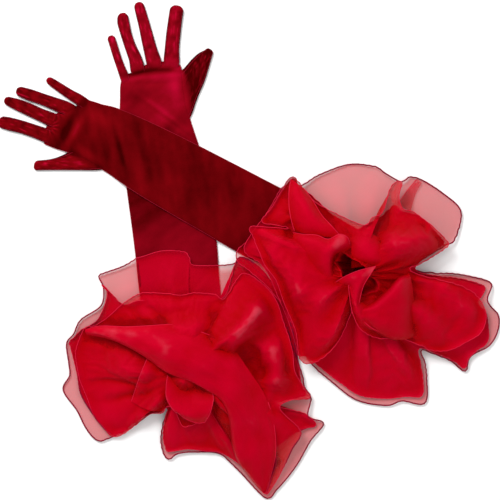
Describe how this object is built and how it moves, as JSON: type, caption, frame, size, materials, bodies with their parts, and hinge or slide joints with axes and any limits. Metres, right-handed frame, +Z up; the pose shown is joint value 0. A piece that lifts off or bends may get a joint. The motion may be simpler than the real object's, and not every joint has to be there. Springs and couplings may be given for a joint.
{
  "type": "pair of opera gloves",
  "caption": "Elbow-length stretch velvet gloves with wide layered organza ruffles round their mouths, lying crossed on a flat surface.",
  "frame": {"origin": "on the table, under the middle of the pair's overall box", "axes": "+Z up from the table; +Y roughly along the left glove towards its fingertips; +X towards the right glove's ruffle"},
  "size_m": [0.7458, 0.7424, 0.0578],
  "materials": {
    "velvet": "matte",
    "organza": "satin",
    "hem_thread": "matte",
    "elastic": "matte"
  },
  "bodies": {
    "left_glove": {"left_back_panel": "velvet", "left_palm_panel": "velvet", "left_side_seams": "velvet", "left_cuff_band": "velvet", "left_elastic_band": "elastic", "left_ruffle_gathers": "organza", "left_lower_ruffle": "organza", "left_lower_hem": "hem_thread", "left_upper_ruffle": "organza", "left_upper_hem": "hem_thread"},
    "right_glove": {"right_back_panel": "velvet", "right_palm_panel": "velvet", "right_side_seams": "velvet", "right_cuff_band": "velvet", "right_elastic_band": "elastic", "right_ruffle_gathers": "organza", "right_lower_ruffle": "organza", "right_lower_hem": "hem_thread", "right_upper_ruffle": "organza", "right_upper_hem": "hem_thread"},
    "left_little": {"left_little_back": "velvet", "left_little_front": "velvet", "left_little_fourchettes": "velvet"},
    "left_ring": {"left_ring_back": "velvet", "left_ring_front": "velvet", "left_ring_fourchettes": "velvet"},
    "left_middle": {"left_middle_back": "velvet", "left_middle_front": "velvet", "left_middle_fourchettes": "velvet"},
    "left_index": {"left_index_back": "velvet", "left_index_front": "velvet", "left_index_fourchettes": "velvet"},
    "left_thumb": {"left_thumb_back": "velvet", "left_thumb_front": "velvet"},
    "right_little": {"right_little_back": "velvet", "right_little_front": "velvet", "right_little_fourchettes": "velvet"},
    "right_ring": {"right_ring_back": "velvet", "right_ring_front": "velvet", "right_ring_fourchettes": "velvet"},
    "right_middle": {"right_middle_back": "velvet", "right_middle_front": "velvet", "right_middle_fourchettes": "velvet"},
    "right_index": {"right_index_back": "velvet", "right_index_front": "velvet", "right_index_fourchettes": "velvet"},
    "right_thumb": {"right_thumb_back": "velvet", "right_thumb_front": "velvet"}
  },
  "joints": [
    {"name": "lift_right_glove_off", "type": "slide", "parent": "left_glove", "child": "right_glove", "axis": [0, 0, 1], "range_m": [0, 0.15]},
    {"name": "left_little_lift", "type": "hinge", "parent": "left_glove", "child": "left_little", "pos_m": [-0.18871, 0.26069, 0.005], "axis": [0.9557, 0.2945, 0], "range_deg": [0, 90]},
    {"name": "left_ring_lift", "type": "hinge", "parent": "left_glove", "child": "left_ring", "pos_m": [-0.16882, 0.27232, 0.005], "axis": [0.9642, 0.2651, 0], "range_deg": [0, 90]},
    {"name": "left_middle_lift", "type": "hinge", "parent": "left_glove", "child": "left_middle", "pos_m": [-0.14386, 0.28055, 0.005], "axis": [0.9703, 0.2417, 0], "range_deg": [0, 90]},
    {"name": "left_index_lift", "type": "hinge", "parent": "left_glove", "child": "left_index", "pos_m": [-0.11801, 0.28336, 0.005], "axis": [0.9947, -0.1028, 0], "range_deg": [0, 90]},
    {"name": "left_thumb_lift", "type": "hinge", "parent": "left_glove", "child": "left_thumb", "pos_m": [-0.09391, 0.231, 0.005], "axis": [0.1757, -0.9844, 0], "range_deg": [0, 75]},
    {"name": "right_little_lift", "type": "hinge", "parent": "right_glove", "child": "right_little", "pos_m": [-0.25688, 0.22433, 0.005], "axis": [0.5629, 0.8265, 0], "range_deg": [0, 90]},
    {"name": "right_ring_lift", "type": "hinge", "parent": "right_glove", "child": "right_ring", "pos_m": [-0.27822, 0.21242, 0.005], "axis": [0.3478, 0.9376, 0], "range_deg": [0, 90]},
    {"name": "right_middle_lift", "type": "hinge", "parent": "right_glove", "child": "right_middle", "pos_m": [-0.29643, 0.19582, 0.005], "axis": [0.3811, 0.9245, 0], "range_deg": [0, 90]},
    {"name": "right_index_lift", "type": "hinge", "parent": "right_glove", "child": "right_index", "pos_m": [-0.30556, 0.17289, 0.005], "axis": [0.2697, 0.963, 0], "range_deg": [0, 90]},
    {"name": "right_thumb_lift", "type": "hinge", "parent": "right_glove", "child": "right_thumb", "pos_m": [-0.24511, 0.13181, 0.005], "axis": [-0.8771, 0.4802, 0], "range_deg": [0, 75]}
  ]
}
